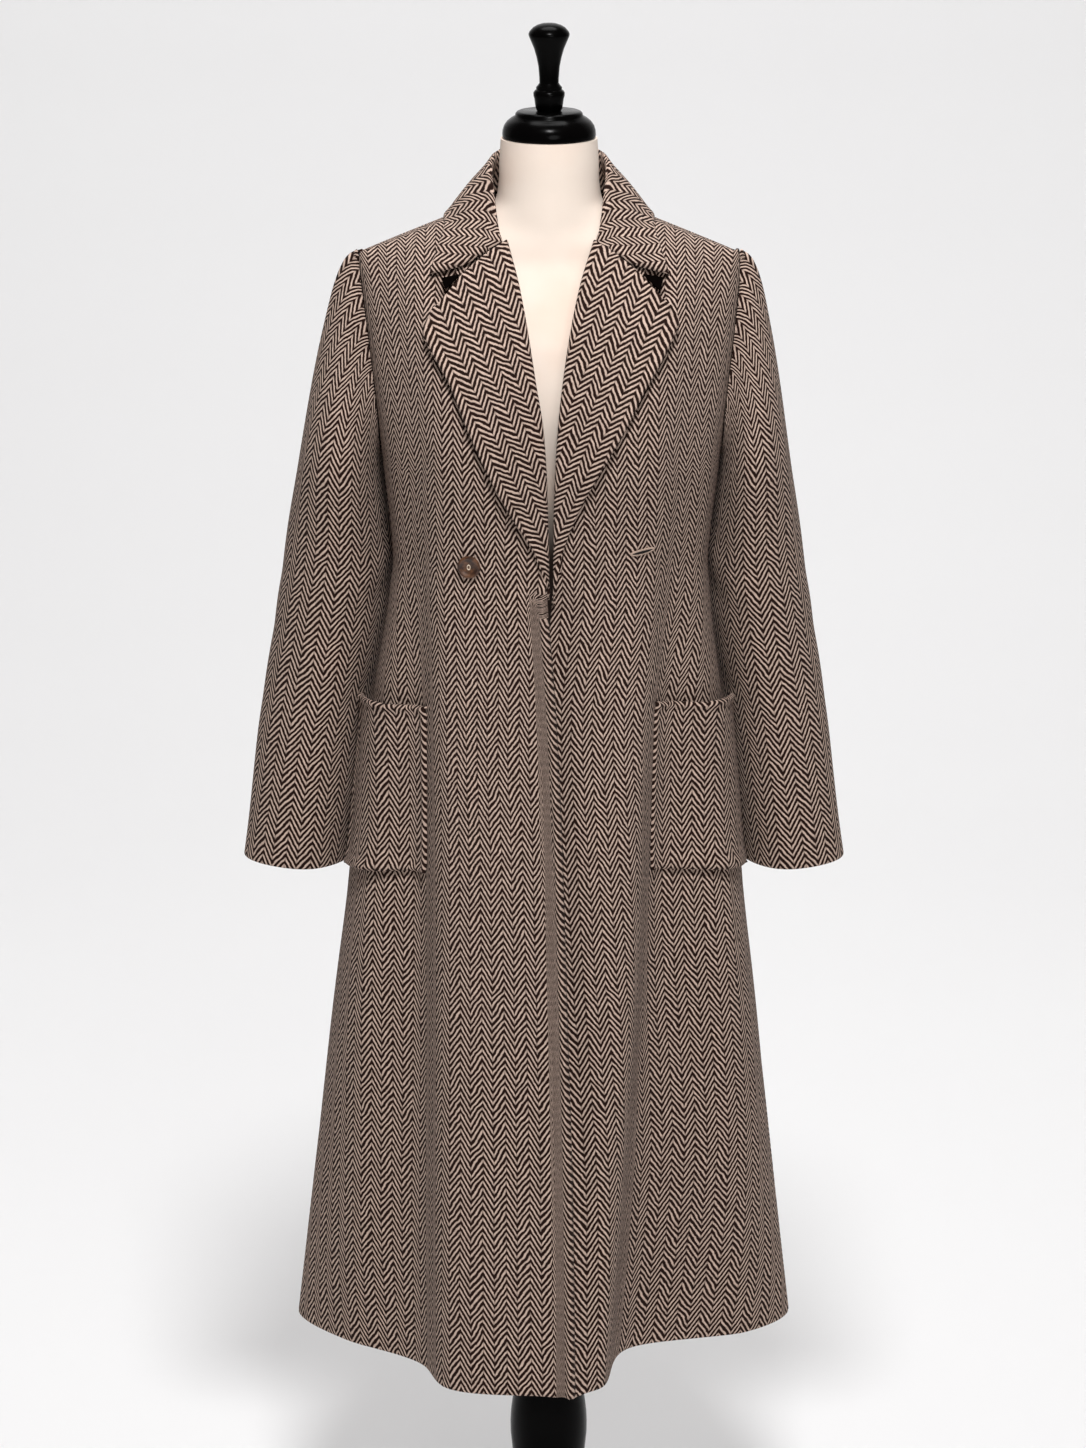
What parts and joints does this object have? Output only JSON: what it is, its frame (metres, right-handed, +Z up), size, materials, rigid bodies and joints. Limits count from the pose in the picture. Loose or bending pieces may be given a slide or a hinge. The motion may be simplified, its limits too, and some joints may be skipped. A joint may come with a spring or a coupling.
{
  "type": "long wool coat on a limbless dress form",
  "caption": "Long A-line herringbone wool coat with notched lapels and patch pockets, worn open on a linen dress form with a turned black stand",
  "frame": {"origin": "middle of the underside of the stand's round base, on the floor", "axes": "+Z up, -Y to the front of the coat, +X to the wearer's left"},
  "size_m": [0.62, 0.4224, 1.643],
  "materials": {
    "wool": "brown and cream herringbone",
    "linen": "plain cream linen",
    "black_wood": "black gloss lacquer",
    "horn": "dark brown, horn-like"
  },
  "bodies": {
    "root": {"front_right": "wool", "front_left": "wool", "back": "wool", "pocket_right": "wool", "pocket_left": "wool", "lapel_right": "wool", "lapel_left": "wool", "collar": "wool", "sleeve_right": "wool", "sleeve_left": "wool", "button": "horn", "form_body": "linen", "form_cap": "black_wood", "form_finial": "black_wood", "stand_post": "black_wood", "stand_base": "black_wood"}
  },
  "joints": []
}
